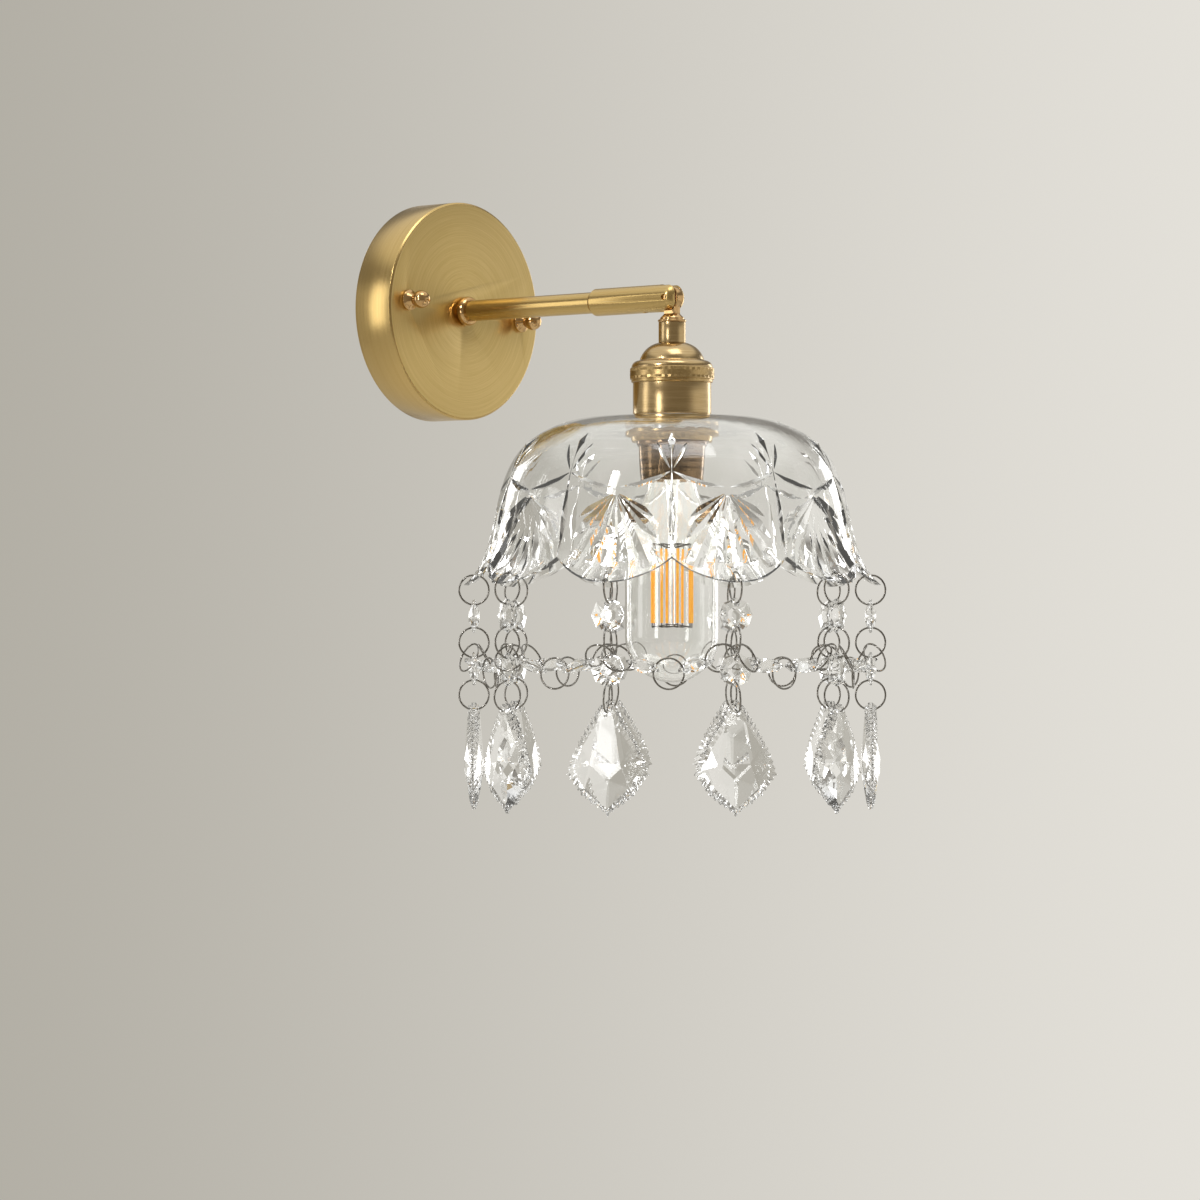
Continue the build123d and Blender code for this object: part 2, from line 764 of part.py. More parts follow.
stem_seat = bulb_seat + bulb_wall
with BuildPart() as bulb_stem:
    with BuildSketch(head_plane):
        with BuildLine():
            Polyline(
                (0, -stem_seat),
                (7.5, -stem_seat),
                (6.5, -stem_seat - 4),
                (3.2, -stem_seat - 12),
                (2.8, -stem_seat - 26),
                (stem_radius, -stem_seat - 30),
                (stem_radius, -filament_bottom - 1),
                (0, -filament_bottom - 1),
                close=True,
            )
        make_face()
    revolve(axis=head_axis)
bulb_stem.part.label = "bulb_stem"

with BuildPart() as filaments:
    with BuildSketch(level_plane(filament_top)):
        with PolarLocations(filament_circle, filament_count):
            Circle(filament_radius)
    extrude(amount=-(filament_bottom - filament_top))
filaments.part.label = "filaments"

with BuildPart() as filament_wires:
    for wire_top in (filament_top - filament_wire_height, filament_bottom):
        with BuildSketch(level_plane(wire_top)):
            Circle(filament_circle + filament_wire_width)
            Circle(filament_circle - filament_wire_width, mode=Mode.SUBTRACT)
            with PolarLocations(filament_circle / 2, 4):
                Rectangle(filament_circle, filament_wire_width)
            Circle(stem_radius + fit_clearance, mode=Mode.SUBTRACT)
        extrude(amount=-filament_wire_height)
filament_wires.part.label = "filament_wires"

# ---- Shade: a ten-panelled pressed-glass bell ----
panel_angle = 360 / panel_count
rib_angles = [rib_azimuth + panel_angle * i for i in range(panel_count)]
string_angles = [angle + panel_angle / 2 for angle in rib_angles]
shade_drop = scallop_depth - shade_top
bell_points = []
for radius_share, drop_share in [
    (0.38, 0.003),
    (0.606, 0.082),
    (0.7285, 0.199),
    (0.81, 0.39),
    (0.855, 0.614),
    (0.905, 0.838),
    (1.0, 1.0),
]:
    bell_points.append(Vector(rim_radius * radius_share, -shade_top - shade_drop * drop_share))
bell_inside = [Vector(bell_points[0].X, -shade_top - shade_wall)]
for before, here, after in zip(bell_points, bell_points[1:], bell_points[2:]):
    run = (after - before).normalized()
    bell_inside.append(here + Vector(run.Y, -run.X) * shade_wall)
bell_inside.append(bell_points[-1] - Vector(rim_wall, 0))
with BuildLine() as bell_line:
    Spline(*bell_points)
bell_steps = 200
bell_samples = [bell_line.line @ (step / bell_steps) for step in range(bell_steps + 1)]


def bell_skin(azimuth, depth):
    """Point on the bell's outside at an azimuth and a depth, and the direction out of the glass there."""
    lower_index = next((i for i, point in enumerate(bell_samples) if point.Y < -depth), bell_steps)
    upper, lower = bell_samples[lower_index - 1], bell_samples[lower_index]
    share = (upper.Y + depth) / (upper.Y - lower.Y)
    radius = upper.X + (lower.X - upper.X) * share
    outward = outward_at(azimuth)
    normal = (outward * (upper.Y - lower.Y) + up * (lower.X - upper.X)).normalized()
    return head_origin + outward * radius - up * depth, normal


def blade(stations, side):
    """Loft over (azimuth, depth, half width, height) on the bell: side 1 gives a ridge, -1 a cutter."""
    places = [bell_skin(azimuth, depth) for azimuth, depth, _, _ in stations]
    with BuildPart() as tool:
        for i, (point, normal) in enumerate(places):
            half_width, height = stations[i][2:]
            ahead = places[min(i + 1, len(places) - 1)][0]
            behind = places[max(i - 1, 0)][0]
            heading = (ahead - behind).normalized()
            with BuildSketch(Plane(origin=point, x_dir=normal.cross(heading), z_dir=heading)):
                with BuildLine():
                    Polyline(
                        (-half_width, -side * cut_clearance),
                        (0, side * height),
                        (half_width, -side * cut_clearance),
                        (0, -side * cut_root),
                        close=True,
                    )
                make_face()
        loft(ruled=True)
    return tool.part


def all_round(tool):
    """A panel's ridge or cutter, once for each panel."""
    return [tool.rotate(head_axis, panel_angle * i) for i in range(panel_count)]


fan_depth = notch_depth - fan_rise
garland_depth = fan_depth - garland_rise
lens_end = (cut_end_width, cut_end_width)

# Two lens-shaped ridges, tip to tip, along each rib.
rib_ridges = []
for top, bottom in [(0.04, 0.36), (0.355, 0.845)]:
    stations = []
    for share, (half_width, height) in [(0, lens_end), (0.45, (ridge_width, ridge_height)), (1, lens_end)]:
        depth = shade_top + shade_drop * (top + (bottom - top) * share)
        stations.append((rib_azimuth, depth, half_width, height))
    rib_ridges += all_round(blade(stations, 1))

# A fan of nine V cuts spreads from a point down to each scallop.
fan_cuts = []
last_cut = len(fan_cut_lengths) - 1
for number in range(-last_cut, last_cut + 1):
    cut_angle = radians(fan_spread * number)
    length = fan_cut_lengths[abs(number)]
    reaches_rim = abs(number) <= fan_rim_cuts
    stations = []
    for share in (0, 0.35, 0.7, 1):
        reach = fan_start + (length - fan_start) * share
        half_width = reach * tan(radians(fan_spread / 2))
        cut_depth = min(fan_cut_depth, half_width)
        if share == 1 and not reaches_rim:
            half_width = cut_end_width
            cut_depth = cut_end_width
        half_width *= (cut_depth + cut_clearance) / cut_depth
        depth = fan_depth + reach * cos(cut_angle) * fan_slope
        radius = bell_skin(0, depth)[0].X
        azimuth = string_angles[0] + degrees(reach * sin(cut_angle) / radius)
        stations.append((azimuth, depth, half_width, cut_depth))
    fan_cuts.append(blade(stations, -1))

# Above the fans a garland of lens cuts hangs from rib to rib, and two short spurs rise from each of its ends.
garland_cuts = []
for side in (-1, 1):
    stations = []
    for share, half_width, cut_depth in [
        (0.97, *lens_end),
        (0.75, garland_width * 0.8, garland_cut_depth),
        (0.4, garland_width, garland_cut_depth),
        (0.06, *lens_end),
    ]:
        azimuth = string_angles[0] + side * share * panel_angle / 2
        stations.append((azimuth, garland_depth + garland_sag * (1 - share**2), half_width, cut_depth))
    garland_cuts.append(blade(stations, -1))
    stations = []
    for share, half_width, cut_depth in [(0, *lens_end), (0.5, spur_width, spur_cut_depth), (1, *lens_end)]:
        azimuth = string_angles[0] + side * panel_angle * (spur_foot + (spur_tip - spur_foot) * share)
        stations.append((azimuth, garland_depth - spur_gap - spur_height * share, half_width, cut_depth))
    garland_cuts.append(blade(stations, -1))

# One panel is spun, scalloped and cut, and ten of them make the bell.
panel_start = outward_at(rib_azimuth)
panel_middle = outward_at(string_angles[0])
with BuildPart() as shade_panel:
    with BuildSketch(Plane(head_origin, x_dir=panel_start, z_dir=panel_start.cross(up))):
        with BuildLine():
            Line((shade_hole_radius, -shade_top), bell_points[0])
            Spline(*bell_points)
            Line(bell_points[-1], bell_inside[-1])
            Spline(*reversed(bell_inside))
            Polyline(
                bell_inside[0],
                (shade_hole_radius, -shade_top - shade_wall),
                (shade_hole_radius, -shade_top),
            )
        make_face()
    revolve(axis=head_axis, revolution_arc=panel_angle)
    scallop_plane = Plane(head_origin, x_dir=panel_middle.cross(-up), z_dir=panel_middle)
    scallop_half = bell_skin(0, notch_depth)[0].X * sin(radians(panel_angle / 2))
    cutter_half = rim_radius / 2
    cutter_bottom = scallop_depth + scallop_drop
    with BuildSketch(scallop_plane):
        with BuildLine():
            ThreePointArc((-scallop_half, -notch_depth), (0, -scallop_depth), (scallop_half, -notch_depth))
            Polyline(
                (scallop_half, -notch_depth),
                (cutter_half, -notch_depth),
                (cutter_half, -cutter_bottom),
                (-cutter_half, -cutter_bottom),
                (-cutter_half, -notch_depth),
                (-scallop_half, -notch_depth),
            )
        make_face()
        with Locations((0, -rim_hole_depth)):
            Circle(rim_hole_radius)
    extrude(amount=2 * rim_radius, mode=Mode.SUBTRACT)
    add(fan_cuts + garland_cuts, mode=Mode.SUBTRACT)

with BuildPart() as shade_glass:
    add(all_round(shade_panel.part))
    add(rib_ridges)
shade_glass.part.label = "shade_glass"

# ---- Crystal strings: ring, octagon bead, ring, bead, ring, and a pendant that swings on the last ring ----
string_radius = rim_radius - string_inset
wire_shift = bead_hole_radius - wire_radius - link_gap       # wire's centre to the centre of a bead's hole
bead_drop = ring_radius + wire_shift + bead_hole_offset      # ring's centre to the bead's
link_pitch = 2 * bead_drop                                   # ring's centre to the next ring's
rim_ring_depth = rim_hole_depth + rim_hole_radius - wire_radius - rim_wire_gap + ring_radius
junction_depth = rim_ring_depth + link_pitch
pendant_ring_depth = junction_depth + link_pitch
pendant_depth = pendant_ring_depth + ring_radius + pendant_hole_radius - wire_radius - pendant_wire_gap


def string_point(angle, depth):
    return head_origin + outward_at(angle) * string_radius - up * depth


with BuildPart() as ring_blank:
    with BuildSketch():
        RegularPolygon(ring_radius + wire_radius, ring_sides)
        RegularPolygon(ring_radius - wire_radius, ring_sides, mode=Mode.SUBTRACT)
    extrude(amount=wire_radius, both=True)


def facet(origin, azimuth, reach, edge_height, top_height, side):
    """Plane of a cut facet, rising from the edge at its reach to a height over the origin."""
    outward = outward_at(azimuth)
    edge = origin + outward * reach + up * side * edge_height
    return Plane(edge, z_dir=outward * (top_height - edge_height) + up * side * reach)


with BuildPart() as bead_blank:
    with BuildSketch():
        RegularPolygon(bead_radius, bead_sides)
        with Locations((-bead_hole_offset, 0), (bead_hole_offset, 0)):
            Circle(bead_hole_radius, mode=Mode.SUBTRACT)
    extrude(amount=bead_half_thickness, both=True)
    for side in (1, -1):
        for number in range(bead_sides):
            corner = 360 / bead_sides * number
            flat = corner + 180 / bead_sides
            side_facet = facet(Vector(), flat, bead_flat_reach, bead_girdle / 2, bead_peak, side)
            corner_facet = facet(Vector(), corner, bead_radius, bead_girdle / 2, bead_corner_peak, side)
            split(bisect_by=side_facet, keep=Keep.BOTTOM)
            split(bisect_by=corner_facet, keep=Keep.BOTTOM)

# The rings hang in upright planes through the head's axis, and the beads face outwards.
string_nodes = []
for name, blank, depth in [
    ("rim_rings", ring_blank, rim_ring_depth),
    ("upper_beads", bead_blank, rim_ring_depth + bead_drop),
    ("junction_rings", ring_blank, junction_depth),
    ("lower_beads", bead_blank, junction_depth + bead_drop),
    ("pendant_rings", ring_blank, pendant_ring_depth),
]:
    places = []
    for angle in string_angles:
        facing = outward_at(angle) if blank is bead_blank else outward_at(angle).cross(up)
        places.append(Plane(string_point(angle, depth), x_dir=up, z_dir=facing))
    with BuildPart() as group:
        with Locations(*places):
            add(blank.part)
    group.part.label = name
    string_nodes.append(group)

# ---- Swags: ring, bead, ring, bead, ring from each junction ring to the next ----
hook_reach = ring_radius - 2 * wire_radius - hook_gap        # a hooked wire to the end ring's centre
swag_reach = hook_reach + link_pitch                         # the hooked wire to the middle ring's centre
hook_out = ring_radius * cos(radians(swag_hook_angle))
hook_down = ring_radius * sin(radians(swag_hook_angle))
ring_places = []
bead_places = []
for angle in string_angles:
    next_angle = angle + panel_angle
    start = string_point(angle, junction_depth + hook_down) + outward_at(angle) * hook_out
    finish = string_point(next_angle, junction_depth + hook_down) - outward_at(next_angle) * hook_out
    chord = finish - start
    along = chord.normalized()
    face_out = along.cross(up)
    swag_sag = sqrt(swag_reach**2 - (chord.length / 2) ** 2)
    falling = (chord / 2 - up * swag_sag).normalized()
    rising = (chord / 2 + up * swag_sag).normalized()
    low_point = start + falling * swag_reach
    links = [
        (start + falling * hook_reach, falling, end_ring_turn, ring_places),
        (low_point - falling * bead_drop, falling, end_ring_turn + swag_twist, bead_places),
        (low_point, along, end_ring_turn + 2 * swag_twist, ring_places),
        (low_point + rising * bead_drop, rising, end_ring_turn + 3 * swag_twist, bead_places),
        (finish - rising * hook_reach, rising, end_ring_turn + 4 * swag_twist, ring_places),
    ]
    for centre, direction, turn, places in links:
        above = face_out.cross(direction)
        across = face_out * cos(radians(turn)) - above * sin(radians(turn))
        facing = across if places is bead_places else direction.cross(across)
        places.append(Plane(centre, x_dir=direction, z_dir=facing))

for name, blank, places in [("swag_rings", ring_blank, ring_places), ("swag_beads", bead_blank, bead_places)]:
    with BuildPart() as group:
        with Locations(*places):
            add(blank.part)
    group.part.label = name
    string_nodes.append(group)

# ---- Pendants: a leaf-shaped plate with a scalloped edge, cut with two rings of facets on both faces ----
leaf_half = [(3.2, 4.6), (6.4, 1.0), (11.0, -6.0), (15.6, -14.0), (19.4, -22.0), (22.0, -31.0)]
leaf_half += [(18.4, -35.5), (14.0, -41.5), (8.2, -46.0), (3.0, -50.0)]
leaf_tip = (0, pendant_hole_offset - pendant_height)
leaf_mirror = [(-x, y) for x, y in reversed(leaf_half)]
facet_centre = Vector(0, -29, 0)
# azimuth on the leaf and reach of the edge there, for the right half
main_facets = [(90, 33.0), (45, 20.6), (0, 21.5), (-45, 18.7), (-90, 24.5)]
edge_facets = [(67.5, 26.9), (22.5, 20.9), (-22.5, 19.4), (-67.5, 18.8)]

with BuildPart() as pendant_blank:
    with BuildSketch():
        with BuildLine() as leaf:
            Polyline(*leaf_half, leaf_tip, *leaf_mirror, close=True)
        make_face()
        leaf_wire = leaf.wires()[0]
        notch_count = round(leaf_wire.length / leaf_notch_pitch)
        notch_points = [leaf_wire @ ((number + 0.5) / notch_count) for number in range(notch_count)]
        with Locations(*[point for point in notch_points if point.Y < leaf_notch_top]):
            RegularPolygon(leaf_notch_radius, 6, mode=Mode.SUBTRACT)
        Circle(pendant_hole_radius, mode=Mode.SUBTRACT)
    extrude(amount=pendant_half_thickness, both=True)
    for side in (1, -1):
        for facets, inset, peak in [
            (main_facets, leaf_border, pendant_peak),
            (edge_facets, leaf_border / 2, pendant_edge_peak),
        ]:
            for azimuth, reach in facets:
                for turned in {azimuth, 180 - azimuth}:
                    cut = facet(facet_centre, turned, reach - inset, pendant_girdle / 2, peak, side)
                    split(bisect_by=cut, keep=Keep.BOTTOM)

pendants = []
for number, angle in enumerate(string_angles, 1):
    outward = outward_at(angle)
    hanging = Plane(string_point(angle, pendant_depth), x_dir=up.cross(outward), z_dir=outward)
    with BuildPart() as pendant:
        with Locations(hanging):
            add(pendant_blank.part)
    pendant.part.label = f"pendant_{number:02d}"
    pendants.append(pendant)

pieces = [
    backplate, mounting_bracket, bracket_studs, stud_lock_nuts, cap_nuts, earth_screw,
    terminal_block, arm_nipple, lock_washer, arm_lock_nut, arm_tube, arm_root_ring, arm_sleeve,
    knuckle_pin, knuckle_washers, knuckle_tongue, neck_ring, neck_tube, neck_nipple, socket_cap,
    knurled_collar, socket_shell, lampholder_body, screw_contact_shell, centre_contact,
    shade_gaskets, shade_ring, bulb_cap, bulb_cap_insulator, bulb_base_tip, bulb_glass, bulb_stem,
    filaments, filament_wires, shade_glass,
]
for piece in pieces + string_nodes + pendants:
    export_step(piece.part, f"parts/{piece.part.label}.step")
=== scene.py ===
import bpy
import bmesh
import math
from mathutils import Matrix, Vector


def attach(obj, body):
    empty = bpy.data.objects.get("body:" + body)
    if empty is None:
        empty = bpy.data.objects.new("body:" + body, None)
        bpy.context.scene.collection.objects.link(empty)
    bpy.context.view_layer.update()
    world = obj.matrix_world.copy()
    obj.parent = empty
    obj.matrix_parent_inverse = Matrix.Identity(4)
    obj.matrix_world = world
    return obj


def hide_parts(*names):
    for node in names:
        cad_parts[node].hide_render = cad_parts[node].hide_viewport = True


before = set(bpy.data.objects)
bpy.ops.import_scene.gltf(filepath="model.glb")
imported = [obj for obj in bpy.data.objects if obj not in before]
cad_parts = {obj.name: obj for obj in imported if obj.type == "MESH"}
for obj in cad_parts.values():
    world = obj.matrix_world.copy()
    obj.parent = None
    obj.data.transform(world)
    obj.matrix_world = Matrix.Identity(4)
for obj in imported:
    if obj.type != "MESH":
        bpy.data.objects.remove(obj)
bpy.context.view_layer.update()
print("frame loaded:", len(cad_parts), "nodes")

mm = 0.001
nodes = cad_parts
headY = -175.4 * mm       # the head's axis, in front of the wall
weldGap = 0.002 * mm      # corners closer than this are one corner
brushDepth = 0.01 * mm    # height of the brush lines on the brass


def deselect():
    if bpy.context.object and bpy.context.object.mode != "OBJECT":
        bpy.ops.object.mode_set(mode="OBJECT")
    bpy.ops.object.select_all(action="DESELECT")


def pick(piece):
    deselect()
    piece.select_set(True)
    bpy.context.view_layer.objects.active = piece


# materials: one function adds a node, with its settings, values and links

def linear(hexColour):
    parts = [int(hexColour[i:i + 2], 16) / 255 for i in (1, 3, 5)]
    return [c / 12.92 if c <= 0.04045 else ((c + 0.055) / 1.055) ** 2.4 for c in parts] + [1.0]


def addNode(tree, kind, settings=None, values=None, links=None):
    node = tree.nodes.new(kind)
    for name, value in (settings or {}).items():
        setattr(node, name, value)
    for socket, value in (values or {}).items():
        node.inputs[socket].default_value = value
    for socket, source in (links or {}).items():
        tree.links.new(source, node.inputs[socket])
    return node


def newMaterial(name, base, **shader):
    material = bpy.data.materials.new(name)
    material.use_nodes = True
    tree = material.node_tree
    surface = tree.nodes["Principled BSDF"]
    surface.inputs["Base Color"].default_value = linear(base)
    for socket, value in shader.items():
        surface.inputs[socket].default_value = value
    return material, tree, surface


def colourSpread(tree, surface, noise, dark, light, low=0.35, high=0.65):
    ramp = addNode(tree, "ShaderNodeValToRGB", links={"Fac": noise.outputs["Fac"]})
    ramp.color_ramp.elements[0].position = low
    ramp.color_ramp.elements[0].color = linear(dark)
    ramp.color_ramp.elements[1].position = high
    ramp.color_ramp.elements[1].color = linear(light)
    tree.links.new(ramp.outputs["Color"], surface.inputs["Base Color"])


def roughSpread(tree, surface, noise, low, high):
    spread = addNode(
        tree, "ShaderNodeMapRange", values={"To Min": low, "To Max": high},
        links={"Value": noise.outputs["Fac"]}
    )
    tree.links.new(spread.outputs["Result"], surface.inputs["Roughness"])


def bumpFrom(tree, surface, height, distance, strength=0.4):
    bump = addNode(
        tree, "ShaderNodeBump", values={"Distance": distance, "Strength": strength},
        links={"Height": height}
    )
    tree.links.new(bump.outputs["Normal"], surface.inputs["Normal"])


def placeCoordinates(tree, stretch):
    place = addNode(tree, "ShaderNodeTexCoord")
    return addNode(
        tree, "ShaderNodeMapping", values={"Scale": stretch}, links={"Vector": place.outputs["Object"]}
    )


def brushedBrass(
    name, stretch, roughness, anisotropy, axis, dark="#C6A86B", light="#D3B67A", lineShare=0.2
):
    # satin brass: fine parallel brush lines, which pull the highlights out across them
    material, tree, surface = newMaterial(
        name, light, Metallic=1.0, Roughness=roughness, Anisotropic=anisotropy
    )
    grain = placeCoordinates(tree, stretch)
    noise = addNode(
        tree, "ShaderNodeTexNoise", values={"Scale": 1.0, "Detail": 3.0, "Roughness": 0.6},
        links={"Vector": grain.outputs["Vector"]}
    )
    colourSpread(tree, surface, noise, dark, light)
    roughSpread(tree, surface, noise, roughness - 0.06, roughness + 0.06)
    bumpFrom(tree, surface, noise.outputs["Fac"], brushDepth, lineShare)
    if axis:
        tangent = addNode(tree, "ShaderNodeTangent", settings={"direction_type": "RADIAL", "axis": axis})
        tree.links.new(tangent.outputs["Tangent"], surface.inputs["Tangent"])
    return material


def lathedBrass(name, roughness, anisotropy):
    # the plate's face: brushed in circles on a lathe, so its highlight is an hourglass through the centre
    material, tree, surface = newMaterial(
        name, "#D0B576", Metallic=1.0, Roughness=roughness, Anisotropic=anisotropy
    )
    place = addNode(tree, "ShaderNodeTexCoord")
    flat = addNode(
        tree, "ShaderNodeVectorMath", settings={"operation": "MULTIPLY"}, links={0: place.outputs["Object"]}
    )
    flat.inputs[1].default_value = (1, 0, 1)
    radius = addNode(
        tree, "ShaderNodeVectorMath", settings={"operation": "LENGTH"}, links={0: flat.outputs["Vector"]}
    )
    spoke = addNode(
        tree, "ShaderNodeVectorMath", settings={"operation": "NORMALIZE"}, links={0: flat.outputs["Vector"]}
    )
    parts = addNode(tree, "ShaderNodeSeparateXYZ", links={"Vector": spoke.outputs["Vector"]})
    ringsPerMetre = 1800.0    # rings 0.6 mm apart, coarser than real brushing so that they show
    rings = addNode(
        tree, "ShaderNodeMath", settings={"operation": "MULTIPLY"}, values={1: ringsPerMetre},
        links={0: radius.outputs["Value"]}
    )
    lines = addNode(
        tree, "ShaderNodeCombineXYZ",
        links={"X": rings.outputs["Value"], "Y": parts.outputs["X"], "Z": parts.outputs["Z"]}
    )
    noise = addNode(
        tree, "ShaderNodeTexNoise", values={"Scale": 1.0, "Detail": 4.0, "Roughness": 0.7},
        links={"Vector": lines.outputs["Vector"]}
    )
    colourSpread(tree, surface, noise, "#C8AD6E", "#D6BC80")
    roughSpread(tree, surface, noise, roughness - 0.04, roughness + 0.04)
    bumpFrom(tree, surface, noise.outputs["Fac"], brushDepth, 0.2)
    tangent = addNode(tree, "ShaderNodeTangent", settings={"direction_type": "RADIAL", "axis": "Y"})
    tree.links.new(tangent.outputs["Tangent"], surface.inputs["Tangent"])
    return material


def speckled(name, dark, light, grainMm, bumpMm=0.0, roughSpan=0.05, **shader):
    # cast, moulded or plated surface with a faint grain of a real size in mm
    material, tree, surface = newMaterial(name, light, **shader)
    grain = placeCoordinates(tree, (1000 / grainMm,) * 3)
    noise = addNode(
        tree, "ShaderNodeTexNoise", values={"Scale": 1.0, "Detail": 3.0},
        links={"Vector": grain.outputs["Vector"]}
    )
    colourSpread(tree, surface, noise, dark, light)
    rough = shader.get("Roughness", 0.4)
    roughSpread(tree, surface, noise, max(0.0, rough - roughSpan), rough + roughSpan)
    if bumpMm:
        bumpFrom(tree, surface, noise.outputs["Fac"], bumpMm * mm)
    return material


# painted glow for the glass: pale light it gives off of its own once a ray has turned this many times
# inside it
paintedGlassGlow = {"from": 5.0, "to": 9.0, "strength": 0.35, "colour": "#E9E7E1"}    # counted in turns of a ray


def glass(name, tint, ior, waveMm, bumpMm):
    # clear glass: pressed glass has slow waves left by the mould, cut crystal has nearly none
    material, tree, surface = newMaterial(name, tint, Roughness=0.0, IOR=ior)
    surface.inputs["Transmission Weight"].default_value = 1.0
    grain = placeCoordinates(tree, (1000 / waveMm,) * 3)
    noise = addNode(
        tree, "ShaderNodeTexNoise", values={"Scale": 1.0, "Detail": 1.0},
        links={"Vector": grain.outputs["Vector"]}
    )
    bumpFrom(tree, surface, noise.outputs["Fac"], bumpMm * mm, 0.5)
    colourSpread(tree, surface, noise, tint, "#FFFFFF", 0.3, 0.7)
    # painted glow: once a ray has turned many times inside thick glass, the glass gives off pale light of
    # its own, which leaves it as pale as the room
    path = addNode(tree, "ShaderNodeLightPath")
    paintedGlow = addNode(
        tree, "ShaderNodeMapRange",
        values={
            "From Min": paintedGlassGlow["from"], "From Max": paintedGlassGlow["to"], "To Max": paintedGlassGlow["strength"]
        },
        links={"Value": path.outputs["Ray Depth"]}
    )
    surface.inputs["Emission Color"].default_value = linear(paintedGlassGlow["colour"])
    tree.links.new(paintedGlow.outputs["Result"], surface.inputs["Emission Strength"])
    return material


materials = {
    "face": lathedBrass("satin brass, brushed in circles", 0.30, 0.75),
    "rim": brushedBrass("satin brass, brushed round the rim", (6, 2400, 6), 0.24, 0.4, "Y"),
    "tube": brushedBrass("satin brass, drawn tube", (2500, 25, 2500), 0.26, 0.2, "", lineShare=0.05),
    "lathed": brushedBrass(
        "satin brass, turned on a lathe", (60, 60, 2600), 0.21, 0.45, "Z", "#BBA072", "#CCB285"
    ),
    "knurled": brushedBrass("satin brass, knurled", (900, 900, 900), 0.30, 0.0, "", "#B89B69", "#CBAF7C"),
    "polished": speckled(
        "polished brass", "#C49D6A", "#D7B37F", 2.5, 0.0, 0.03, Metallic=1.0, Roughness=0.09
    ),
    "bronzed": brushedBrass(
        "bronzed brass, threaded and glossy", (40, 40, 420), 0.16, 0.2, "Z", "#5E4A34", "#A18768"
    ),
    "zinc": speckled(
        "zinc-plated steel", "#A9ABA8", "#C6C8C5", 1.2, 0.01, 0.08, Metallic=1.0, Roughness=0.35
    ),
    "contact": speckled(
        "contact brass, stamped", "#C39A52", "#DDB66C", 0.8, 0.005, 0.05, Metallic=1.0, Roughness=0.3
    ),
    "nylon": speckled("white nylon, moulded", "#E3E0D8", "#EFEDE6", 0.5, 0.01, 0.06, Roughness=0.45),
    "fibre": speckled("fibre washer", "#7D4A35", "#93604A", 0.4, 0.01, 0.05, Roughness=0.6),
    "gasket": speckled(
        "clear silicone gasket", "#E6E4DE", "#F5F4F0", 0.8, 0.0, 0.05, Roughness=0.25, IOR=1.41
    ),
    "capMetal": speckled(
        "nickel-plated bulb cap", "#B3AFA6", "#D0CCC4", 1.0, 0.004, 0.05, Metallic=1.0, Roughness=0.22
    ),
    "vitrite": speckled("black glass insulator", "#0E0E10", "#1C1B1D", 1.0, 0.0, 0.05, Roughness=0.12),
    "wire": speckled(
        "bright nickel-plated wire", "#7F7C77", "#9A9792", 1.5, 0.0, 0.03, Metallic=1.0, Roughness=0.08
    ),
    "supportWire": speckled(
        "filament support wire", "#4B4A48", "#6A6864", 0.6, 0.0, 0.05, Metallic=1.0, Roughness=0.4
    ),
    "pressed": glass("clear pressed glass", "#FBFCFB", 1.52, 14.0, 0.05),
    "crystal": glass("cut crystal glass", "#FCFDFD", 1.58, 9.0, 0.005),
    "blown": glass("clear blown bulb glass", "#FBFCFB", 1.50, 20.0, 0.02),
}

# yellow phosphor coating of the filaments, with a painted glow: the surface gives off faint yellow light of
# its own
filamentMaterial, filamentTree, filamentSurface = newMaterial(
    "yellow filament coating with painted glow", "#F5AE35", Roughness=0.45
)
filamentSurface.inputs["Emission Strength"].default_value = 0.55
filamentGrain = placeCoordinates(filamentTree, (900, 900, 250))
filamentNoise = addNode(
    filamentTree, "ShaderNodeTexNoise", values={"Scale": 1.0},
    links={"Vector": filamentGrain.outputs["Vector"]}
)
colourSpread(filamentTree, filamentSurface, filamentNoise, "#F0A028", "#FFC24A")
filamentSurface.inputs["Emission Color"].default_value = linear("#FFB23C")
materials["phosphor"] = filamentMaterial
print("materials made:", len(materials))


def dress(piece, *names):
    piece.data.materials.clear()
    for name in names:
        piece.data.materials.append(materials[name])


def place(piece, name, body, slotName, replaced, *finishes):
    piece.name = name
    piece.data.name = name
    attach(piece, body)
    if replaced:
        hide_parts(*replaced)
    if finishes:
        dress(piece, *finishes)
    return piece


# turned and drawn brass: the solids' own shapes, with their edges eased and smooth shading
easing = {"flatWithin": 1.0, "bevelFrom": 35, "segments": 2}    # degrees, degrees, rows

def easedCopy(node, name, body, slotName, finish, edge=0.25, angle=30):
    piece = nodes[node].copy()
    piece.data = nodes[node].data.copy()
    bpy.context.scene.collection.objects.link(piece)
    piece.parent = None
    for key in list(piece.keys()):
        del piece[key]
    pick(piece)
    bpy.ops.object.mode_set(mode="EDIT")
    bpy.ops.mesh.select_all(action="SELECT")
    bpy.ops.mesh.remove_doubles(threshold=weldGap)
    bpy.ops.mesh.customdata_custom_splitnormals_clear()
    bpy.ops.mesh.dissolve_limited(angle_limit=math.radians(easing["flatWithin"]))
    bpy.ops.object.mode_set(mode="OBJECT")
    if edge:
        bevel = piece.modifiers.new("eased edge", "BEVEL")
        bevel.width = edge * mm
        bevel.segments = easing["segments"]
        bevel.limit_method = "ANGLE"
        bevel.angle_limit = math.radians(easing["bevelFrom"])
        bevel.harden_normals = False
        bpy.ops.object.modifier_apply(modifier=bevel.name)
    bpy.ops.object.shade_smooth_by_angle(angle=math.radians(angle))
    return place(piece, name, body, slotName, [node], finish)


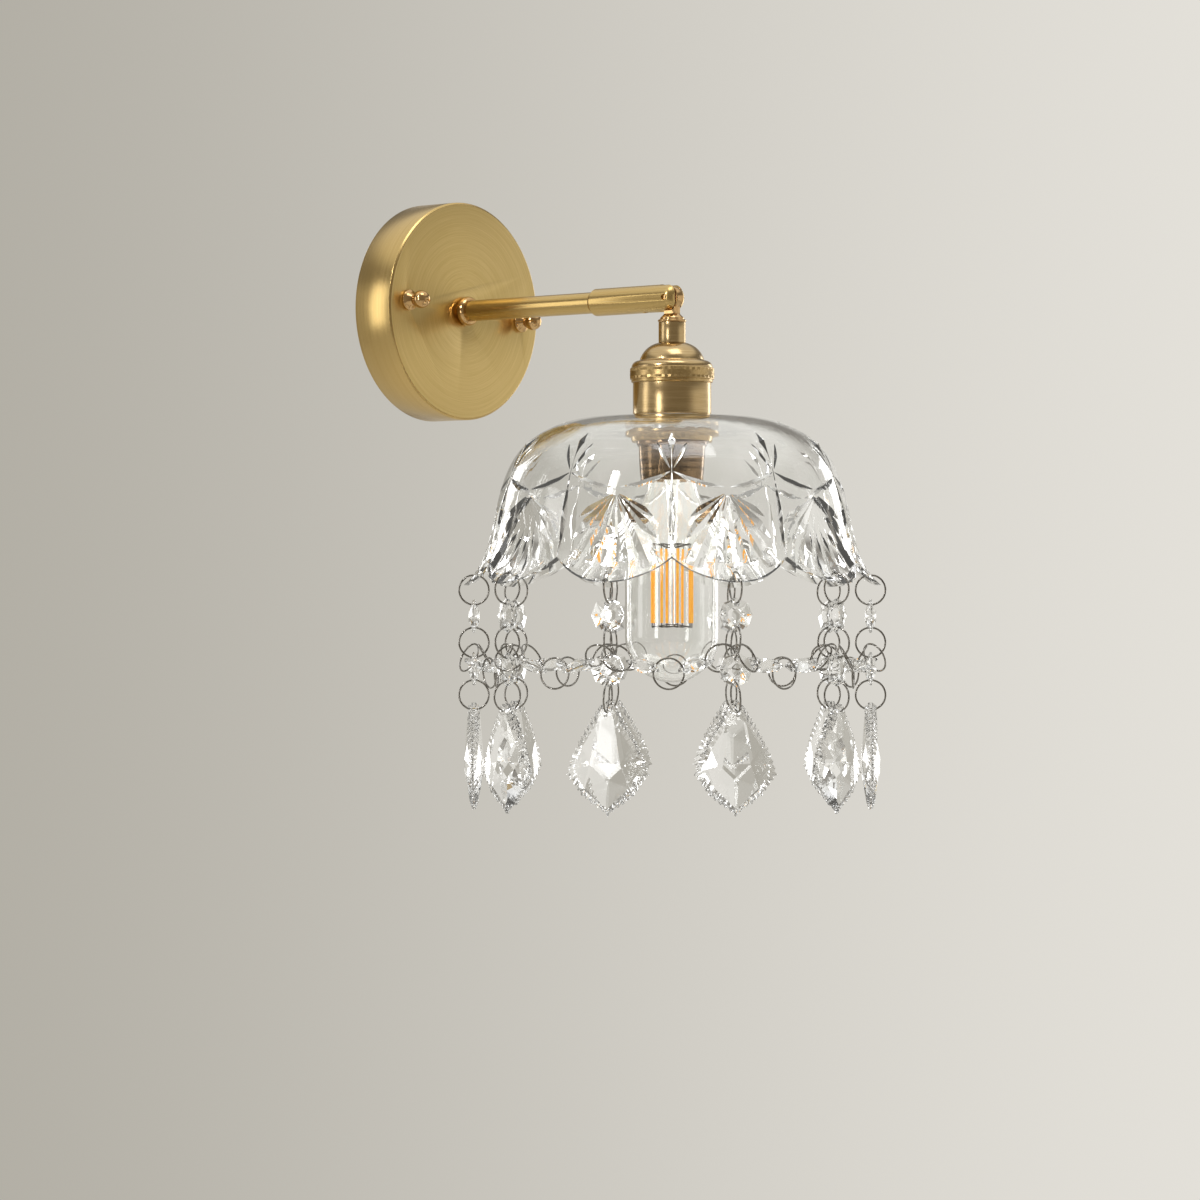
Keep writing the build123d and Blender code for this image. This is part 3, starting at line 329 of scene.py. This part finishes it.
turned = [
    # node, name, finish, edge, body
    ("arm_tube", "armTube", "tube", 0, "wall_arm"),
    ("arm_root_ring", "armRootRing", "polished", 0, "wall_arm"),
    ("arm_sleeve", "armSleeve", "tube", 0.2, "wall_arm"),
    ("cap_nuts", "capNuts", "polished", 0.1, "wall_arm"),
    ("knuckle_pin", "knucklePin", "polished", 0.2, "wall_arm"),
    ("knuckle_tongue", "knuckleTongue", "polished", 0.25, "lamp_head"),
    ("neck_ring", "neckRing", "polished", 0, "lamp_head"),
    ("neck_tube", "neckTube", "lathed", 0.2, "lamp_head"),
    ("socket_cap", "socketCap", "lathed", 0.2, "lamp_head"),
    ("socket_shell", "socketShell", "lathed", 0.15, "lamp_head"),
    ("shade_ring", "shadeRing", "lathed", 0.3, "lamp_head"),
]
slots = {"tube": "satin_brass", "polished": "polished_brass", "lathed": "satin_brass"}
for node, name, finish, edge, body in turned:
    easedCopy(node, name, body, slots[finish], finish, edge)

easedCopy("shade_glass", "shadeGlass", "lamp_head", "pressed_glass", "pressed", 0, 24)
easedCopy("bulb_glass", "bulbGlass", "lamp_head", "bulb_clear_glass", "blown", 0, 40)
easedCopy("lampholder_body", "lampholderSleeve", "lamp_head", "brown_bakelite", "bronzed", 0.2)
platePiece = easedCopy("backplate", "backplateBrass", "wall_arm", "satin_brass", "rim", 0.2)
platePiece.data.materials.append(materials["face"])
for face in platePiece.data.polygons:
    if abs(face.normal.y) > 0.99:
        face.material_index = 1

# knurled collar: a band of raised diamonds between two plain edges, over the lip that holds the shell
collarSizes = {
    "radius": 22.35, "band": (37.9, 43.1), "top": 37.3, "foot": 45.2, "lip": 21.65, "bore": 19.05,
    "teeth": 42, "rows": 4, "depth": 0.6, "raised": 0.1, "sharpFrom": 8
}


def ringMesh(outline, count, name):
    # an outline of (radius, depth) spun round the head's axis
    deselect()
    bpy.ops.mesh.primitive_circle_add(
        vertices=len(outline), radius=0.01, fill_type="NOTHING", location=(0, 0, 0)
    )
    ring = bpy.context.object
    ring.name = name
    for vertex, (radius, depth) in zip(ring.data.vertices, outline):
        vertex.co = (radius * mm, headY, -depth * mm)
    bpy.ops.object.mode_set(mode="EDIT")
    bpy.ops.mesh.select_all(action="SELECT")
    bpy.ops.mesh.spin(steps=count, angle=math.tau, center=(0, headY, 0), axis=(0, 0, 1))
    bpy.ops.mesh.select_all(action="SELECT")
    bpy.ops.mesh.remove_doubles(threshold=2.5 * weldGap)
    bpy.ops.mesh.normals_make_consistent(inside=False)
    bpy.ops.object.mode_set(mode="OBJECT")
    return ring


bandTop, bandFoot = collarSizes["band"]
bandRows = [
    bandTop + (bandFoot - bandTop) * i / collarSizes["rows"] for i in range(collarSizes["rows"] + 1)
]
bandEdge = collarSizes["radius"] - collarSizes["raised"]
collarTop, collarFoot, lip = collarSizes["top"], collarSizes["foot"], collarSizes["lip"]
collarOutline = [
    (collarSizes["bore"], collarTop), (bandEdge - 0.4, collarTop), (bandEdge, collarTop + 0.35)
]
collarOutline += [(bandEdge, depth) for depth in bandRows]
collarOutline += [
    (bandEdge, bandFoot + 0.4), (lip, bandFoot + 0.6), (lip, collarFoot - 0.4), (lip - 0.4, collarFoot),
    (collarSizes["bore"], collarFoot)
]
collarPiece = ringMesh(collarOutline, 2 * collarSizes["teeth"], "knurledCollar")
for vertex in collarPiece.data.vertices:
    x, y, z = vertex.co.x, vertex.co.y - headY, vertex.co.z
    row = min(range(len(bandRows)), key=lambda i: abs(bandRows[i] + z / mm))
    inBand = math.hypot(x, y) / mm > bandEdge - 0.05 and abs(bandRows[row] + z / mm) < 0.01
    if inBand and 0 < row < len(bandRows) - 1:
        column = round(math.atan2(y, x) / math.tau * 2 * collarSizes["teeth"])
        radius = bandEdge + (collarSizes["raised"] if (column + row) % 2 == 0 else -collarSizes["depth"])
        vertex.co.x, vertex.co.y = x * radius / bandEdge, headY + y * radius / bandEdge
collarPiece.data.update()
pick(collarPiece)
bpy.ops.object.shade_smooth_by_angle(angle=math.radians(collarSizes["sharpFrom"]))
place(collarPiece, "knurledCollar", "lamp_head", "satin_brass", ["knurled_collar"], "knurled")
print("brass pieces made")

# filaments: eight coated rods in a cage, with a pin at each end and a zigzag support wire
cageWork = {
    "radius": 10.9, "rod": 0.75, "top": 133.5, "bottom": 172.5, "turn": 55, "count": 8,
    "pin": 0.3, "pinLength": 2.4, "wire": 0.28, "wirePast": 2.2, "innerPast": 1.6, "innerShare": 0.9,
    "spokeRadius": 1.2, "spokePast": 0.6,
}


def rod(radius, length, spot, name, sides=12):
    deselect()
    bpy.ops.mesh.primitive_cylinder_add(
        vertices=sides, radius=radius * mm, depth=length * mm, location=spot
    )
    piece = bpy.context.object
    piece.name = name
    bpy.ops.object.transform_apply(location=True, rotation=True, scale=False)
    bpy.ops.object.shade_smooth_by_angle(angle=math.radians(40))
    return piece


def joined(pieces, name):
    deselect()
    for piece in pieces:
        piece.select_set(True)
    bpy.context.view_layer.objects.active = pieces[0]
    bpy.ops.object.join()
    bpy.context.object.name = name
    return bpy.context.object


def cageSpot(number, radius, depth):
    turn = math.radians(cageWork["turn"] + 360 / cageWork["count"] * number)
    return Vector((radius * mm * math.cos(turn), headY + radius * mm * math.sin(turn), -depth * mm))


def strut(start, end, radius, name):
    piece = rod(radius, (end - start).length / mm, (0, 0, 0), name, 8)
    turn = (end - start).to_track_quat("Z", "Y").to_matrix().to_4x4()
    piece.data.transform(Matrix.Translation((start + end) / 2) @ turn)
    return piece


rods, wires = [], []
cageTop, cageBottom, cageRadius = cageWork["top"], cageWork["bottom"], cageWork["radius"]
for number in range(cageWork["count"]):
    middle = cageSpot(number, cageRadius, (cageTop + cageBottom) / 2)
    rods.append(rod(cageWork["rod"], cageBottom - cageTop, middle, "filamentRod"))
    for depth, way in ((cageTop, -1), (cageBottom, 1)):
        pinSpot = cageSpot(number, cageRadius, depth + cageWork["pinLength"] / 2 * way)
        wires.append(rod(cageWork["pin"], cageWork["pinLength"], pinSpot, "filamentPin", 8))
        outer = cageSpot(number, cageRadius, depth + cageWork["wirePast"] * way)
        inner = cageSpot(
            number + 0.5, cageRadius * cageWork["innerShare"], depth + cageWork["innerPast"] * way
        )
        nextOuter = cageSpot(number + 1, cageRadius, depth + cageWork["wirePast"] * way)
        wires.append(strut(outer, inner, cageWork["wire"], "cageWire"))
        wires.append(strut(inner, nextOuter, cageWork["wire"], "cageWire"))
        if number % 2 == 0:
            hub = cageSpot(number, cageWork["spokeRadius"], depth + cageWork["spokePast"] * way)
            wires.append(strut(outer, hub, cageWork["wire"], "cageSpoke"))
rodPiece = joined(rods, "filamentRods")
wirePiece = joined(wires, "filamentSupports")
place(rodPiece, "filamentRods", "lamp_head", "filament_phosphor", ["filaments"], "phosphor")
place(wirePiece, "filamentSupports", "lamp_head", "filament_wire", ["filament_wires"], "supportWire")
print("filaments made")

# crystal pendants: kite facets inside a border that is notched all round, with grooves across its bevel
pendantWork = {
    "notchPitch": 3.4, "notchDepth": 1.0, "notchHalf": 1.3, "girdle": 0.8, "topAboveHole": 4.6, "hole": 1.5,
    "holeHeight": 3.1, "holeSides": 8, "stations": 8,
    # right half, in mm from the hole: a corner of the facets, its height, and the outline's corners up to
    # the next one
    "corners": [
        ((2.4, 2.7, 3.0), [(3.2, 4.6), (6.4, 1.0)]),
        ((4.4, -3.4, 3.2), [(6.4, 1.0), (11.0, -6.0), (15.6, -14.0)]),
        ((13.0, -16.4, 3.0), [(15.6, -14.0), (19.4, -22.0), (22.0, -31.0)]),
        ((17.8, -28.4, 1.7), [(22.0, -31.0), (18.4, -35.5), (14.0, -41.5)]),
        ((12.2, -37.6, 3.0), [(14.0, -41.5), (8.2, -46.0), (3.0, -49.0), (0.0, -52.0)]),
    ],
    "tip": (0.0, -48.6, 2.2), "tableSide": (8.2, -25.6, 4.8), "tableFoot": (0.0, -33.0, 4.8),
}


def alongPath(points, count):
    # evenly spaced places on a path of straight runs, without its end
    runs = [(Vector(b) - Vector(a)).length for a, b in zip(points, points[1:])]
    spots = []
    for i in range(count):
        reach = sum(runs) * i / count
        for start, end, run in zip(points, points[1:], runs):
            if reach <= run:
                spots.append(Vector(start).lerp(Vector(end), reach / run))
                break
            reach -= run
    return spots


def pendantMesh(name):
    work = pendantWork
    corners = [Vector(corner) for corner, _ in work["corners"]] + [Vector(work["tip"])]
    outer, inner, marks = [], [], [0]
    for (corner, path), following in zip(work["corners"], corners[1:]):
        length = sum((Vector(b) - Vector(a)).length for a, b in zip(path, path[1:]))
        count = max(2, round(length / work["notchPitch"])) * work["stations"]
        outer += alongPath(path, count)
        inner += [Vector(corner).lerp(following, i / count) for i in range(count)]
        marks.append(len(outer))
    outer.append(Vector(work["corners"][-1][1][-1]))
    inner.append(corners[-1])
    mesh = bmesh.new()
    for half in (1, -1):
        for face in (1, -1):
            rings = []
            for share in (0.0, 0.5, 1.0):
                ring = []
                for i, (edge, core) in enumerate(zip(outer, inner)):
                    phase = abs((i % work["stations"]) / work["stations"] - 0.5) * work["notchPitch"]
                    notchShare = max(
                        0.0, 1 - (phase / work["notchHalf"]) ** 2
                    ) if i > work["stations"] else 0.0
                    notch = work["notchDepth"] * notchShare
                    inward = (core.xy - edge).normalized()
                    spot = edge.lerp(core.xy, share) + inward * notch * (1 - share)
                    height = work["girdle"] + (core.z - work["girdle"]) * share
                    ring.append(mesh.verts.new((half * spot.x, spot.y, face * height)))
                rings.append(ring)
            for near, far in zip(rings, rings[1:]):
                for i in range(len(near) - 1):
                    mesh.faces.new((near[i], near[i + 1], far[i + 1], far[i]))
            border = rings[-1]
            lower = [mesh.verts.new((v.co.x, v.co.y, 0.0)) for v in rings[0]]
            for i in range(len(lower) - 1):
                mesh.faces.new((lower[i], lower[i + 1], rings[0][i + 1], rings[0][i]))
            sideX, sideY, sideHeight = work["tableSide"]
            side = mesh.verts.new((half * sideX, sideY, face * sideHeight))
            foot = mesh.verts.new((0, work["tableFoot"][1], face * work["tableFoot"][2]))
            top = mesh.verts.new((0, corners[0].y, face * corners[0].z))
            middle = mesh.verts.new((0, corners[1].y, face * corners[1].z))
            tableTop = mesh.verts.new((0, sideY, face * sideHeight))
            holeRing = []
            for step in range(work["holeSides"] + 1):
                turn = math.radians(-90 + 180 / work["holeSides"] * step)
                rimX, rimY = work["hole"] * math.cos(turn), work["hole"] * math.sin(turn)
                holeRing.append(mesh.verts.new((half * rimX, rimY, face * work["holeHeight"])))
            wall = [mesh.verts.new((v.co.x, v.co.y, 0.0)) for v in holeRing]
            for i in range(work["holeSides"]):
                mesh.faces.new((wall[i], wall[i + 1], holeRing[i + 1], holeRing[i]))
            topEdge = mesh.verts.new((0, work["topAboveHole"], face * work["girdle"]))
            topFoot = mesh.verts.new((0, work["topAboveHole"], 0.0))
            mesh.faces.new((rings[0][0], rings[1][0], border[0], top, topEdge))
            mesh.faces.new((rings[0][0], topEdge, topFoot, lower[0]))
            a, b, c, d, e, f = marks
            mesh.faces.new([top] + border[a:b + 1] + [middle] + holeRing)
            mesh.faces.new([middle, border[b], side, tableTop])
            mesh.faces.new(border[b:c + 1] + [side])
            mesh.faces.new(border[c:d + 1] + [side])
            mesh.faces.new(border[d:e + 1] + [side])
            mesh.faces.new([tableTop, side, foot])
            mesh.faces.new([side, border[e], foot])
            mesh.faces.new([border[e]] + border[e + 1:f + 1] + [foot])
    bmesh.ops.remove_doubles(mesh, verts=mesh.verts, dist=0.001)
    bmesh.ops.recalc_face_normals(mesh, faces=mesh.faces)
    data = bpy.data.meshes.new(name)
    mesh.to_mesh(data)
    mesh.free()
    return data


pendantBlank = pendantMesh("pendantBlank")
for number in range(1, 11):
    node = nodes[f"pendant_{number:02d}"]
    reach = [node.matrix_world @ vertex.co for vertex in node.data.vertices]
    centre = Vector([(min(v[i] for v in reach) + max(v[i] for v in reach)) / 2 for i in range(3)])
    hole = Vector((centre.x, centre.y, max(v.z for v in reach) - pendantWork["topAboveHole"] * mm))
    outward = Vector((centre.x, centre.y - headY, 0)).normalized()
    across = Vector((0, 0, 1)).cross(outward)
    piece = bpy.data.objects.new("pendant", pendantBlank.copy())
    bpy.context.scene.collection.objects.link(piece)
    turn = Matrix((across, Vector((0, 0, 1)), outward)).transposed().to_4x4()
    piece.data.transform(Matrix.Translation(hole) @ turn @ Matrix.Scale(mm, 4))
    place(
        piece, f"crystalPendant{number:02d}", f"pendant_{number:02d}", "cut_crystal", [node.name], "crystal"
    )
print("pendants made")

# rings: round bright wire in place of the solids' square wire
ringWork = {"radius": 8.0, "wire": 0.5, "drawnIn": 0.985, "major": 48, "minor": 10}


def looseParts(node):
    # each ring's corners, taken in the mesh's own order, so that every run draws the same rings
    mesh = bmesh.new()
    mesh.from_mesh(node.data)
    bmesh.ops.remove_doubles(mesh, verts=mesh.verts, dist=weldGap)
    mesh.verts.index_update()
    visited, found = set(), []
    for start in mesh.verts:
        if start.index in visited:
            continue
        visited.add(start.index)
        heap, part = [start], []
        while heap:
            vertex = heap.pop()
            part.append(node.matrix_world @ vertex.co)
            for link in vertex.link_edges:
                other = link.other_vert(vertex)
                if other.index not in visited:
                    visited.add(other.index)
                    heap.append(other)
        found.append(part)
    mesh.free()
    return found


for node in ("rim_rings", "junction_rings", "pendant_rings", "swag_rings"):
    tori = []
    for part in looseParts(nodes[node]):
        centre = sum(part, Vector()) / len(part)
        spokes = [spot - centre for spot in part]
        first = max(spokes, key=lambda spoke: spoke.length)
        longOnes = (spoke for spoke in spokes if spoke.length > 0.9 * first.length)
        second = min(longOnes, key=lambda spoke: abs(spoke.normalized().dot(first.normalized())))
        facing = first.cross(second).normalized()
        deselect()
        bpy.ops.mesh.primitive_torus_add(
            major_segments=ringWork["major"], minor_segments=ringWork["minor"],
            major_radius=ringWork["radius"] * mm * ringWork["drawnIn"], minor_radius=ringWork["wire"] * mm
        )
        torus = bpy.context.object
        torus.data.transform(
            Matrix.Translation(centre) @ facing.to_track_quat("Z", "Y").to_matrix().to_4x4()
        )
        bpy.ops.object.shade_smooth()
        tori.append(torus)
    name = node.split("_")[0] + "Rings"
    place(joined(tori, name), name, "lamp_head", "bright_wire", [node], "wire")
print("rings made")

# the other nodes keep their own shape
finishOf = {
    "mounting_bracket": "zinc", "bracket_studs": "zinc", "stud_lock_nuts": "zinc", "earth_screw": "contact",
    "terminal_block": "nylon", "arm_nipple": "zinc", "lock_washer": "zinc", "arm_lock_nut": "zinc",
    "knuckle_washers": "fibre", "neck_nipple": "zinc",
    "screw_contact_shell": "contact", "centre_contact": "contact", "shade_gaskets": "gasket",
    "bulb_cap": "capMetal", "bulb_cap_insulator": "vitrite", "bulb_base_tip": "capMetal",
    "bulb_stem": "blown",
    "upper_beads": "crystal", "lower_beads": "crystal", "swag_beads": "crystal",
}
for node, finish in finishOf.items():
    dress(nodes[node], finish)

# camera, where the photograph was taken from
cameraWork = {
    "place": (-1.8232, -1.7113, -0.184), "yaw": 48.97, "pitch": 0.57, "lens": 135.0, "sensor": 36.0
}
deselect()
bpy.ops.object.camera_add(location=cameraWork["place"])
camera = bpy.context.object
camera.rotation_euler = (math.radians(90 + cameraWork["pitch"]), 0, -math.radians(cameraWork["yaw"]))
camera.data.lens = cameraWork["lens"]
camera.data.sensor_width = cameraWork["sensor"]
camera.data.clip_start, camera.data.clip_end = 0.05, 60
bpy.context.scene.camera = camera

rightward = Vector((0.656, -0.754, 0.0))    # level, to the right of the view
backward = Vector((-0.754, -0.656, 0.0))    # level, back from the object to the camera

# world: pale, a little darker to the left, with a dark flag and a bright ceiling high up for the glass
world = bpy.data.worlds.new("pale studio")
bpy.context.scene.world = world
world.use_nodes = True
worldTree = world.node_tree
sky = worldTree.nodes["Background"]
sky.inputs["Strength"].default_value = 1.0
direction = addNode(worldTree, "ShaderNodeTexCoord")
across = addNode(
    worldTree, "ShaderNodeVectorMath", settings={"operation": "DOT_PRODUCT"},
    links={0: direction.outputs["Generated"]}
)
across.inputs[1].default_value = rightward
side = addNode(
    worldTree, "ShaderNodeMapRange", settings={"interpolation_type": "SMOOTHSTEP"},
    values={"From Min": -0.19, "From Max": 0.19}, links={"Value": across.outputs["Value"]}
)
pale = addNode(
    worldTree, "ShaderNodeMix", settings={"data_type": "RGBA"}, links={0: side.outputs["Result"]}
)
pale.inputs[6].default_value = linear("#AFABA1")
pale.inputs[7].default_value = linear("#E6E3DC")
parts = addNode(worldTree, "ShaderNodeSeparateXYZ", links={"Vector": direction.outputs["Generated"]})
height = addNode(worldTree, "ShaderNodeValToRGB", links={"Fac": parts.outputs["Z"]})
heightStops = [
    (0.0, "#C9C5BD"), (0.20, "#CFCCC5"), (0.34, "#85817A"), (0.52, "#8E8A83"), (0.66, "#F2F1EC"),
    (1.0, "#FFFFFF")
]
height.color_ramp.elements[0].color = linear(heightStops[0][1])
height.color_ramp.elements[1].color = linear(heightStops[-1][1])
for position, colour in heightStops[1:-1]:
    height.color_ramp.elements.new(position).color = linear(colour)
flagMask = addNode(
    worldTree, "ShaderNodeMapRange", settings={"interpolation_type": "SMOOTHSTEP"},
    values={"From Min": 0.14, "From Max": 0.30}, links={"Value": parts.outputs["Z"]}
)
mixed = addNode(
    worldTree, "ShaderNodeMix", settings={"data_type": "RGBA"},
    links={0: flagMask.outputs["Result"], 6: pale.outputs[2], 7: height.outputs["Color"]}
)
rays = addNode(worldTree, "ShaderNodeLightPath")
# reflections also see the dimmer room behind the camera, which draws the dark bands on the brass
behind = addNode(
    worldTree, "ShaderNodeVectorMath", settings={"operation": "DOT_PRODUCT"},
    links={0: direction.outputs["Generated"]}
)
behind.inputs[1].default_value = backward
roomMask = addNode(
    worldTree, "ShaderNodeMapRange", settings={"interpolation_type": "SMOOTHSTEP"},
    values={"From Min": 0.25, "From Max": 0.75}, links={"Value": behind.outputs["Value"]}
)
roomShare = addNode(
    worldTree, "ShaderNodeMath", settings={"operation": "MULTIPLY"},
    links={0: roomMask.outputs["Result"], 1: rays.outputs["Is Glossy Ray"]}
)
roomed = addNode(
    worldTree, "ShaderNodeMix", settings={"data_type": "RGBA"},
    links={0: roomShare.outputs["Value"], 6: mixed.outputs[2]}
)
roomed.inputs[7].default_value = linear("#8E877B")
seen = addNode(
    worldTree, "ShaderNodeMix", settings={"data_type": "RGBA"},
    links={0: rays.outputs["Is Camera Ray"], 6: roomed.outputs[2], 7: pale.outputs[2]}
)
worldTree.links.new(seen.outputs[2], sky.inputs["Color"])

# floor, well below the lamp
floorWork = {"height": -1.25, "size": 7.0}
deselect()
bpy.ops.mesh.primitive_circle_add(
    vertices=96, radius=floorWork["size"] / 2, fill_type="NGON", location=(0, headY, floorWork["height"])
)
floor = bpy.context.object
floor.name = "paleFloor"
bpy.ops.object.transform_apply(location=True, rotation=False, scale=False)
floorMaterial = speckled("matt painted floor", "#D5D2CB", "#D8D5CE", 40.0, 0.0, 0.05, Roughness=0.8)
floor.data.materials.append(floorMaterial)

# lamps: a small bright window for the glint, a soft strip for the brass, and panels that edge the glass
lampWork = [
    # name, degrees round from the camera, degrees up, metres off, width, height, watts
    ("glintWindow", -44, 33, 1.8, 0.12, 0.4, 7.0),
    ("leftStrip", -40, 2, 1.8, 0.28, 0.7, 4.0),
    ("rightPanel", 140, 4, 1.8, 0.4, 1.1, 4.5),
    ("leftPanel", -140, 10, 1.7, 0.3, 1.1, 3.5),
    ("leftWindow", -86, 8, 1.7, 0.45, 0.9, 2.2),
    ("topPanel", 20, 72, 1.9, 0.9, 0.9, 7.0),
]
aim = Vector((0, headY, -0.1))
for name, wayRound, raised, far, width, tall, watts in lampWork:
    deselect()
    turn, lift = math.radians(wayRound), math.radians(raised)
    level = rightward * math.sin(turn) + backward * math.cos(turn)
    spot = aim + (level * math.cos(lift) + Vector((0, 0, math.sin(lift)))) * far
    bpy.ops.object.light_add(type="AREA", location=spot)
    lamp = bpy.context.object
    lamp.name = name
    lamp.data.shape = "RECTANGLE"
    lamp.data.size, lamp.data.size_y = width, tall
    lamp.data.energy = watts
    lamp.rotation_euler = (aim - spot).to_track_quat("-Z", "Y").to_euler()
print("camera, world and lamps made")

bpy.context.scene.view_settings.view_transform = "Standard"
